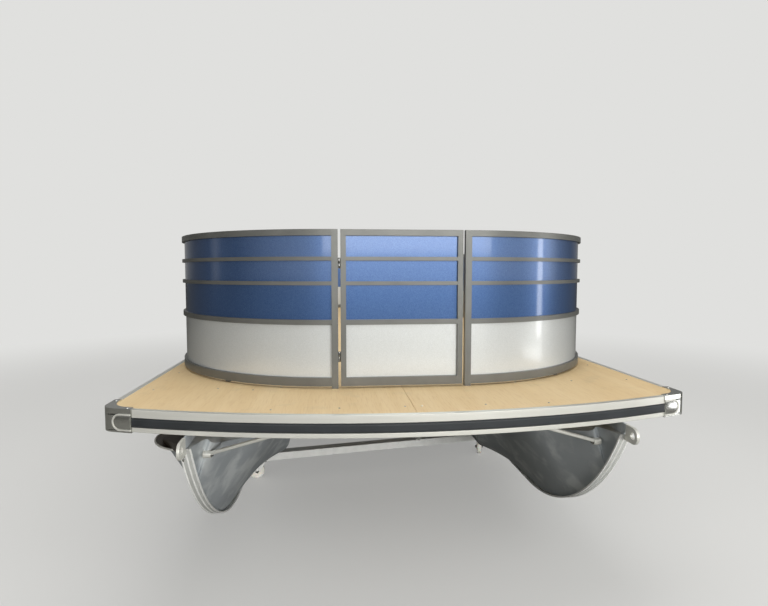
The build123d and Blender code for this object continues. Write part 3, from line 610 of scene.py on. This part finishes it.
for node, slot_name in slot_of.items():
    for starts, width, segments in eased:
        if node.startswith(starts):
            piece = merged_copy(node)
            if node == "corner_caps":
                close_bow_grooves()
            pick("EDGE", is_corner)
            bpy.ops.mesh.bevel(offset=width, segments=segments, profile=0.5, clamp_overlap=True)
            end_edit(smooth=32)
            bpy.ops.object.modifier_add(type="WEIGHTED_NORMAL")
            piece.modifiers[-1].keep_sharp = True
            bpy.ops.object.modifier_apply(modifier=piece.modifiers[-1].name)
            finish = special.get(node, finishes[slot_name])
            settle(piece, node + "_shown", finish, body_of[node])
            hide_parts(node)


def join_pieces(pieces):
    """Join pieces into one and return it."""
    bpy.ops.object.select_all(action="DESELECT")
    for piece in pieces:
        piece.select_set(True)
    bpy.context.view_layer.objects.active = pieces[0]
    bpy.ops.object.join()
    return bpy.context.object


def low_head(radius, height, sides=14):
    """A rivet or screw head that stands on z = 0, its top edge rounded over."""
    begin(bpy.ops.mesh.primitive_cylinder_add, vertices=sides, radius=radius, depth=height,
          location=(0, 0, height / 2))
    pick("EDGE", lambda edge: centre(edge).z > 0.9 * height)
    bpy.ops.mesh.bevel(offset=0.7 * height, segments=3, profile=0.5)
    return end_edit()


def hex_bolt(size, height):
    """A washer and a six-sided head on z = 0; size is half the head's width over its points."""
    thin = 0.25 * height
    begin(bpy.ops.mesh.primitive_cylinder_add, vertices=24, radius=1.35 * size, depth=thin,
          location=(0, 0, thin / 2))
    pick("EDGE", lambda edge: centre(edge).z > 0.9 * thin)
    bpy.ops.mesh.bevel(offset=0.3 * thin, segments=2, profile=0.5)
    washer = end_edit()
    begin(bpy.ops.mesh.primitive_cylinder_add, vertices=6, radius=size, depth=height - thin,
          location=(0, 0, (height + thin) / 2))
    pick("FACE", lambda face: face.normal.z > 0.9)
    bpy.ops.mesh.inset(thickness=0.14 * size)
    bpy.ops.transform.translate(value=(0, 0, 0.08 * height))
    pick("EDGE", lambda edge: is_corner(edge, 40) and centre(edge).z > 1.1 * thin)
    bpy.ops.mesh.bevel(offset=0.05 * size, segments=2, profile=0.5)
    head = end_edit()
    return join_pieces([washer, head])


def rippled_bead(length, radius, ripples):
    """A weld bead along X on z = 0: a bar drawn out ripple by ripple, each ring wider or narrower."""
    begin(bpy.ops.mesh.primitive_circle_add, vertices=8, radius=0.6 * radius, fill_type="NGON",
          location=(-length / 2, 0, 0), rotation=(0, pi / 2, 0))
    wide = 1 / 0.6
    for index in range(2 * ripples):
        bpy.ops.mesh.extrude_region_move(TRANSFORM_OT_translate={"value": (length / ripples / 2, 0, 0)})
        bpy.ops.transform.resize(value=(1, wide, wide))
        wide = 0.8 if wide > 1 else 1.25
    bpy.ops.transform.resize(value=(1, 0.6, 0.6))
    face_outwards()
    return end_edit(smooth=50)


def rippled_ring(radius, thick, ripples):
    """A weld round a tube: a ring about the Y axis whose every other section is drawn in."""
    begin(bpy.ops.mesh.primitive_torus_add, major_radius=radius, minor_radius=thick,
          major_segments=2 * ripples, minor_segments=6, rotation=(pi / 2, 0, 0))
    turn = pi / ripples

    def is_valley(vertex):
        step = round((Vector((1, 0)).angle_signed(Vector((vertex.co.x, vertex.co.z)))) / turn)
        return step % 2 == 1

    pick("VERT", is_valley)
    bpy.ops.transform.resize(value=(0.9978, 1, 0.9978), center_override=(0, 0, 0))
    face_outwards()
    return end_edit(smooth=50)


# Castings: two rivets in the top of each, one along the boat's side and one along its end
casting_top = deck_top + 0.003
rivet_inset = 0.016           # from the casting's outer faces
side_rivet = 0.105            # from the boat's ends
end_rivet = 0.108             # from the boat's sides
rivet_places = []
for side in (-1, 1):
    for end_y, aft in ((corner_y, 1), (stern_y, -1)):
        place = (side * (half_beam - rivet_inset), end_y + aft * side_rivet, casting_top)
        rivet_places.append(turned(place, (0, 0, 1)))
    x = side * (half_beam - end_rivet)
    front = bow_y + bow_radius - sqrt((bow_radius - rivet_inset) ** 2 - x ** 2)
    rivet_places.append(turned((x, front, casting_top), (0, 0, 1)))
    rivet_places.append(turned((x, stern_y - rivet_inset, casting_top), (0, 0, 1)))
repeat(low_head(radius=0.0065, height=0.0032), rivet_places, "casting_rivets", stainless, "boat")

# In the castings' faces, bosses and lips run on as far as the rub rail's end
rail_end = 0.0497             # from the boss's middle
face_rounding = 0.0016


def long_round(radius, depth, middle, reach):
    """In edit mode, a disc across Z with its middle at a height, its +X half drawn out by reach."""
    begin(bpy.ops.mesh.primitive_cylinder_add, vertices=48, radius=radius, depth=depth,
          location=(0, 0, middle))
    pick("VERT", lambda vertex: vertex.co.x > 0.0001)
    bpy.ops.transform.translate(value=(reach, 0, 0))


def end_at_rail(eased_above):
    """In edit mode, cut a drawn-out round at the rub rail's end and round over its upper edges."""
    bpy.ops.mesh.select_all(action="SELECT")
    bpy.ops.mesh.bisect(plane_co=(rail_end, 0, 0), plane_no=(1, 0, 0), use_fill=True, clear_outer=True)
    pick("EDGE", lambda edge: centre(edge).z > eased_above and is_corner(edge))
    bpy.ops.mesh.bevel(offset=face_rounding, segments=3, profile=0.5)
    face_outwards()
    return end_edit()


# Bosses: a polished round in each casting's recess
long_round(radius=0.0268, depth=0.004, middle=0.0005, reach=0.08)
boss = end_at_rail(eased_above=0.0024)
bow_places = []
stern_places = []
for side in (-1, 1):
    bow_places.append(turned(*bow_face(side)))
    stern_places.append(turned((side * boss_x, stern_y, boss_height), (0, 1, 0), (-side, 0, 0)))
repeat(boss, bow_places + stern_places, "casting_bosses", finishes["cast_aluminium"], "boat")

# Lips: a raised bright rim round each bow casting's boss, open towards the rub rail
long_round(radius=0.0345, depth=0.006, middle=0.0010, reach=0.09)
pick("FACE", lambda face: abs(face.normal.z) > 0.9)
bpy.ops.mesh.inset(thickness=0.0062)
bpy.ops.mesh.bridge_edge_loops()
lip = end_at_rail(eased_above=0.0038)
repeat(lip, bow_places, "casting_lips", finishes["edge_aluminium"], "boat")

# Deck screws: a row over each cross-member, and one that the photograph shows near the railing
first_member = bow_y + 0.120
last_member = stern_y - 0.155
member_count = 16
screw_columns = (-1.15, -0.86, -0.57, -0.30, -0.035, 0.035, 0.30, 0.57, 0.86, 1.15)
screw_margin = 0.05           # least distance from the bow's edge
screw_places = [turned((-0.693, -2.826, deck_top), (0, 0, 1))]
for index in range(member_count):
    y = first_member + index * (last_member - first_member) / (member_count - 1)
    for x in screw_columns:
        if y > corner_y or bow_radius - screw_margin > sqrt(x ** 2 + (bow_y + bow_radius - y) ** 2):
            screw_places.append(turned((x, y, deck_top), (0, 0, 1)))
repeat(low_head(radius=0.0045, height=0.0014, sides=10), screw_places, "deck_screws", stainless, "boat")

# Nylon wheels: rounded tread, recessed sides and a hub with its bore
wheel_radius = 0.052
wheel_width = 0.030
tread_rounding = 0.0055
rim_width = 0.0055
recess_width = 0.0240
recess_depth = 0.0035
hub_width = 0.0107
hub_height = 0.0078
wheel = begin(bpy.ops.mesh.primitive_cylinder_add, vertices=48, radius=wheel_radius, depth=wheel_width)
pick("EDGE", lambda edge: abs(centre(edge).z) > wheel_width / 2 - 0.0001)
bpy.ops.mesh.bevel(offset=tread_rounding, segments=4, profile=0.5)
for way in (-1, 1):
    pick("FACE", lambda face: way * face.normal.z > 0.9 and len(face.verts) > 20)
    bpy.ops.mesh.inset(thickness=rim_width)
    bpy.ops.mesh.extrude_region_move(TRANSFORM_OT_translate={"value": (0, 0, -way * recess_depth)})
    bpy.ops.mesh.inset(thickness=recess_width)
    bpy.ops.mesh.extrude_region_move(TRANSFORM_OT_translate={"value": (0, 0, way * hub_height)})
    bpy.ops.mesh.inset(thickness=hub_width)
pick("FACE", lambda face: abs(face.normal.z) > 0.9 and len(face.verts) > 20)
bpy.ops.mesh.bridge_edge_loops()
pick("EDGE", lambda edge: is_corner(edge, 60) and centre(edge).length > 0.012)
bpy.ops.mesh.bevel(offset=0.0009, segments=2, profile=0.5)
face_outwards()
wheel = end_edit()

# Each wheel on its axle, with a bolt at both ends of it
joints = frame["record"]["behaviour"]["joints"]
axle_end = 0.024              # from the wheel's middle
for joint in joints:
    if joint["name"].startswith("roll_"):
        corner = joint["name"][len("roll_"):]
        axle = Vector(joint["pos_m"])
        way = Vector(joint["axis"]).normalized()
        shown = repeat(wheel, [turned(axle, way)], f"nylon_wheel_{corner}", finishes["wheel_nylon"],
                       f"wheel_{corner}", keep=True)
        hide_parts(f"caster_wheel_{corner}")
        ends = [turned(axle + axle_end * way, way), turned(axle - axle_end * way, -way)]
        repeat(hex_bolt(size=0.0085, height=0.0070), ends, f"axle_bolt_{corner}", stainless,
               f"caster_{corner}")
bpy.data.objects.remove(wheel)

# Under each caster's plate: four bolts and the swivel's pressed race
plate_bottom = 0.126
bolt_circle = 0.0385
bow_skew = 10                 # degrees, as the dolly's bow bar stands
race_radius = 0.0285
race_height = 0.0085
race_middle = 0.1214
plate_bolts = []
for joint in joints:
    if joint["name"].startswith("swivel_"):
        middle = Vector(joint["pos_m"])
        skew = radians(bow_skew) if "bow" in joint["name"] else 0
        for corner_angle in (45, 135, 225, 315):
            x = middle.x + bolt_circle * cos(radians(corner_angle) + skew)
            y = middle.y + bolt_circle * sin(radians(corner_angle) + skew)
            plate_bolts.append(turned((x, y, plate_bottom), (0, 0, -1)))
        begin(bpy.ops.mesh.primitive_cylinder_add, vertices=40, radius=race_radius, depth=race_height,
              location=(middle.x, middle.y, race_middle))
        pick("FACE", lambda face: face.normal.z < -0.9)
        bpy.ops.mesh.inset(thickness=0.004)
        bpy.ops.mesh.extrude_region_move(TRANSFORM_OT_translate={"value": (0, 0, -0.0012)})
        pick("EDGE", is_corner)
        bpy.ops.mesh.bevel(offset=0.0012, segments=2, profile=0.5)
        name = "swivel_race_" + joint["name"][len("swivel_"):]
        settle(end_edit(), name, finishes["dolly_steel"], "boat")
repeat(hex_bolt(size=0.0065, height=0.0055), plate_bolts, "caster_plate_bolts", stainless, "boat")

# Welds round the tubes where their sheets meet. Real ripples are 2 mm apart; they are drawn coarser
# so that they show
sides = (("port", 1), ("starboard", -1))
tube_seams = (nose_end, 0.045, 1.480, tube_end - 0.031)
for side_name, side in sides:
    rings = [Matrix.Translation((side * tube_offset, y, tube_middle)) for y in tube_seams]
    repeat(rippled_ring(tube_radius, thick=0.0032, ripples=130), rings, f"tube_welds_{side_name}",
           weld_metal, "boat")

# Stitch welds along both feet of each riser
riser_half = 0.075
stitch_offset = riser_half + 0.002
stitch_height = tube_middle + sqrt(tube_radius ** 2 - riser_half ** 2) + 0.001
first_stitch = -2.39
stitch_spacing = 0.153
stitch_count = 34
stitches = []
for side in (-1, 1):
    for leg in (-1, 1):
        for index in range(stitch_count):
            x = side * tube_offset + leg * stitch_offset
            y = first_stitch + index * stitch_spacing
            stitches.append(turned((x, y, stitch_height), (leg, 0, 0.6), (0, 1, 0)))
repeat(rippled_bead(length=0.05, radius=0.0042, ripples=10), stitches, "riser_welds", weld_metal, "boat")

# On each nose's outer side a flat plate with a round bright edge stands out of the hull
rim_radius = 0.230
rim_offset = tube_offset + 0.060
rim_y = corner_y + 0.450
rim_height = 0.667
rim_run = 0.46                # how far plate and edge run aft from the round
rim_lean = 0.048              # inwards over that run


def run_aft(side, middle):
    """In edit mode, halve a round at its middle, run it aft, and cut it at the tube's middle."""
    bpy.ops.mesh.bisect(plane_co=middle, plane_no=(0, 1, 0), use_fill=True, clear_outer=True)
    pick("FACE", lambda face: face.normal.y > 0.9)
    bpy.ops.mesh.extrude_region_move(TRANSFORM_OT_translate={"value": (-side * rim_lean, rim_run, 0)})
    bpy.ops.mesh.select_all(action="SELECT")
    bpy.ops.mesh.bisect(plane_co=(side * tube_offset, 0, 0), plane_no=(-side, 0, 0), use_fill=True,
                        clear_outer=True)
    bpy.ops.mesh.normals_make_consistent(inside=False)
    return end_edit()


for side_name, side in sides:
    middle = (side * rim_offset, rim_y, rim_height)
    begin(bpy.ops.mesh.primitive_cylinder_add, vertices=96, radius=rim_radius - 0.001, depth=0.004,
          location=middle)
    shelf = run_aft(side, middle)
    # Its dark brown-grey paint is painted shade from the deck above
    settle(shelf, f"nose_shelf_{side_name}", shaded_plate_finish, "boat")
    begin(bpy.ops.mesh.primitive_torus_add, major_radius=rim_radius, minor_radius=0.0048,
          major_segments=120, minor_segments=12, location=middle)
    rim = run_aft(side, middle)
    settle(rim, f"nose_rim_{side_name}", finishes["edge_aluminium"], "boat")

# Webs: an upright plate on each nose's top, up to the edge extrusion, cut along the stem
web_size = (0.007, 0.300, 0.090)
web_y = -3.060
web_height = 0.7945
stem_place = (0, -3.196, 0.794)
stem_out = (0, -0.857, -0.515)
for side_name, side in sides:
    begin(bpy.ops.mesh.primitive_cube_add, size=1, scale=web_size,
          location=(side * tube_offset, web_y, web_height))
    bpy.ops.mesh.bisect(plane_co=stem_place, plane_no=stem_out, use_fill=True, clear_outer=True)
    pick("EDGE", is_corner)
    bpy.ops.mesh.bevel(offset=0.0008, segments=2, profile=0.5)
    face_outwards()
    settle(end_edit(), f"nose_web_{side_name}", finishes["hull_aluminium"], "boat")

# Brace bolts, and the bolt under the bow's lower lip
lug_offset = 0.831
lug_y = corner_y + 0.025
lug_height = 0.718
lug_bolts = [turned((side * lug_offset, lug_y, lug_height), (-side, 0, 0)) for side in (-1, 1)]
repeat(hex_bolt(size=0.010, height=0.009), lug_bolts, "brace_bolts", stainless, "boat")
under_lip = turned((0.004, -3.286, 0.840), (0, 0, -1))
repeat(hex_bolt(size=0.008, height=0.012), [under_lip], "bow_edge_bolt", stainless, "boat")

# A small ring hangs under the starboard bow eye
begin(bpy.ops.mesh.primitive_torus_add, major_radius=0.0095, minor_radius=0.0026, major_segments=32,
      minor_segments=10, location=(-tube_offset, -3.226, 0.7635), rotation=(0, pi / 2, 0))
bpy.ops.transform.resize(value=(1, 1, 1.15))
settle(end_edit(smooth=60), "bow_eye_ring", stainless, "boat")

# Transom bolts, on its raked rear face
rake = radians(12)
transom_end = 3.300
transom_top = 0.900
bolts = []
for x in (-0.22, -0.09, 0.09, 0.22):
    for z in (0.52, 0.80):
        y = transom_end - (transom_top - z) * tan(rake)
        bolts.append(turned((x, y, z), (0, cos(rake), -sin(rake))))
repeat(hex_bolt(size=0.0105, height=0.009), bolts, "transom_bolts", stainless, "boat")


def sleeve(height):
    """A thin open tube that fits round a knuckle, 0.3 mm off it, its rims rounded."""
    begin(bpy.ops.mesh.primitive_cylinder_add, vertices=28, radius=0.0076, depth=height)
    pick("FACE", lambda face: abs(face.normal.z) > 0.9)
    bpy.ops.mesh.inset(thickness=0.0008)
    bpy.ops.mesh.bridge_edge_loops()
    pick("EDGE", lambda edge: is_corner(edge, 60))
    bpy.ops.mesh.bevel(offset=0.0003, segments=2, profile=0.5)
    face_outwards()
    return end_edit()


# Bow gate hinges: a stainless sleeve round each knuckle. The boat's knuckle is the lower one of each
# pair. Columns: body, and how far its knuckle stands above the hinge's foot
hinge_feet = (0.120, 0.560)   # above the deck
knuckle_height = 0.024
hinge = next(joint for joint in joints if joint["name"] == "gate_bow_hinge")
for body, start in (("boat", 0.0), ("gate_bow", knuckle_height + 0.0003)):
    places = []
    for foot in hinge_feet:
        middle = deck_top + foot + start + knuckle_height / 2
        places.append(Matrix.Translation((hinge["pos_m"][0], hinge["pos_m"][1], middle)))
    repeat(sleeve(knuckle_height - 0.002), places, f"hinge_sleeves_{body}", stainless, body)

# Floor: one large pale sheet
bpy.ops.object.select_all(action="DESELECT")
bpy.ops.mesh.primitive_plane_add(size=120)
floor = bpy.context.object
floor.name = "studio_floor"
backdrop_tone = shade("#E0E0DE")
floor_paint, tree, place, surface = start_material("pale_studio_floor")
straight = add_node(tree, "ShaderNodeLightPath").outputs["Is Camera Ray"]
# As light it is grey, so that little is thrown up under the deck; the camera sees it pale
greys = add_node(tree, "ShaderNodeMix", {"data_type": "RGBA", 6: shade("#7E7D78"), 7: shade("#DCDBD8")},
                 {0: straight})
matt = add_node(tree, "ShaderNodeBsdfDiffuse", links={"Color": greys.outputs[2]})
# Where the camera looks at it, it is lightened too, and far off it turns into the backdrop
far_tone = add_node(tree, "ShaderNodeEmission", {"Color": backdrop_tone})
reach = add_node(tree, "ShaderNodeVectorMath", {"operation": "LENGTH"}, {0: place})
far = add_node(tree, "ShaderNodeMapRange",
               {"interpolation_type": "SMOOTHSTEP", "From Min": 1.8, "From Max": 9.0, "To Min": 0.38},
               {"Value": reach.outputs["Value"]})
blend = add_node(tree, "ShaderNodeMath", {"operation": "MULTIPLY"}, {0: far.outputs[0], 1: straight})
faded = add_node(tree, "ShaderNodeMixShader",
                 links={0: blend.outputs[0], 1: matt.outputs[0], 2: far_tone.outputs[0]})
tree.links.new(faded.outputs[0], surface)
floor.data.materials.append(floor_paint)

# World: seen straight on it is the backdrop's tone. As light, which lacquer and metal mirror, it is
# brightest low down, ahead of the bow and to port, darker overhead and to starboard, and darkest just
# abaft both sides, with one narrow bright stripe to starboard
world = bpy.data.worlds.new("soft_studio")
bpy.context.scene.world = world
world.use_nodes = True
tree = world.node_tree
tree.nodes.clear()
direction = add_node(tree, "ShaderNodeTexCoord").outputs["Generated"]
parts = add_node(tree, "ShaderNodeSeparateXYZ", links={0: direction})
ahead = add_node(tree, "ShaderNodeMath", {"operation": "MULTIPLY", 1: -1.0}, {0: parts.outputs[1]})
heading = add_node(tree, "ShaderNodeMath", {"operation": "ARCTAN2"},
                   {0: parts.outputs[0], 1: ahead.outputs[0]})
turn = add_node(tree, "ShaderNodeMapRange", {"From Min": -pi, "From Max": pi}, {"Value": heading.outputs[0]})
ramp = add_node(tree, "ShaderNodeValToRGB", links={0: turn.outputs[0]})
# Its brightness all round. Columns: degrees from dead ahead towards port, brightness
side_tones = [(-180, 0.30), (-125, 0.07), (-104, 0.07), (-97, 0.42), (-90, 0.12), (-76, 0.10), (-57, 0.34),
              (-35, 0.62), (-12, 0.76), (10, 0.96), (40, 0.94), (62, 0.70), (74, 0.98), (86, 0.95),
              (100, 0.18), (118, 0.05), (180, 0.30)]
tones = ramp.color_ramp.elements
tones.remove(tones[1])
for index, (degrees, bright) in enumerate(side_tones):
    spot = tones[0] if index == 0 else tones.new((degrees + 180) / 360)
    spot.position = (degrees + 180) / 360
    spot.color = (bright, bright, 0.97 * bright, 1)
rise = add_node(tree, "ShaderNodeMapRange",
                {"interpolation_type": "SMOOTHSTEP", "From Min": 0.05, "From Max": 0.6, "To Min": 1.0,
                 "To Max": 0.42}, {"Value": parts.outputs[2]})
glow = add_node(tree, "ShaderNodeVectorMath", {"operation": "SCALE"},
                {0: ramp.outputs[0], "Scale": rise.outputs[0]})
seen = add_node(tree, "ShaderNodeLightPath").outputs["Is Camera Ray"]
lit = add_node(tree, "ShaderNodeBackground", {"Strength": 1.35}, {"Color": glow.outputs[0]})
backdrop = add_node(tree, "ShaderNodeBackground", {"Color": backdrop_tone, "Strength": 1.0})
both = add_node(tree, "ShaderNodeMixShader", links={0: seen, 1: lit.outputs[0], 2: backdrop.outputs[0]})
add_node(tree, "ShaderNodeOutputWorld", links={"Surface": both.outputs[0]})

# Lamps: softboxes light the matt surfaces, and one window and two strips show in glossy ones. Columns:
# name, place, what it points at, width, height, watts, whether it lights matt surfaces, whether glossy
# ones mirror it
lamps = [
    ("key_softbox", (3.0, -6.0, 4.2), (0.0, -2.4, 0.6), 2.6, 2.6, 45, True, False),
    ("overhead_softbox", (0, -1.0, 5.2), (0, 0, 0), 5.0, 6.0, 215, True, False),
    ("low_front_fill", (2.2, -8.6, 0.85), (-0.4, -2.2, 0.35), 3.0, 0.8, 320, True, False),
    ("left_softbox", (-4.6, -6.6, 2.9), (-0.8, -2.6, 0.9), 3.0, 2.4, 62, True, False),
    ("front_window", (2.0, -12.0, 3.35), (0.4, -2.8, 1.5), 9.5, 3.0, 300, False, True),
    ("port_strip", (6.4, -3.9, 1.7), (0.7, -2.7, 1.4), 0.55, 2.6, 22, False, True),
    ("casting_strip", (4.3, -3.9, 0.3), (1.2, -3.05, 0.8), 1.3, 0.5, 4.5, False, True),
    ("stern_softbox", (2.5, 8.0, 3.6), (0, 2.6, 0.6), 4.0, 2.4, 130, True, False),
]
for name, place, target, width, height, watts, lights_matt, mirrored in lamps:
    light = bpy.data.lights.new(name, "AREA")
    light.shape = "RECTANGLE"
    light.size = width
    light.size_y = height
    light.energy = watts
    lamp = bpy.data.objects.new(name, light)
    bpy.context.collection.objects.link(lamp)
    lamp.location = place
    lamp.rotation_euler = (Vector(target) - Vector(place)).to_track_quat("-Z", "Y").to_euler()
    lamp.visible_camera = False
    lamp.visible_diffuse = lights_matt
    lamp.visible_glossy = mirrored

# Camera
eye = bpy.data.cameras.new("camera")
eye.sensor_width = 36
eye.sensor_fit = "HORIZONTAL"
eye.lens = camera_lens
camera = bpy.data.objects.new("camera", eye)
bpy.context.collection.objects.link(camera)
camera.location = camera_place
camera.rotation_euler = (radians(90 + camera_pitch), 0, -radians(camera_yaw))
bpy.context.scene.camera = camera
bpy.context.scene.view_settings.view_transform = "Standard"
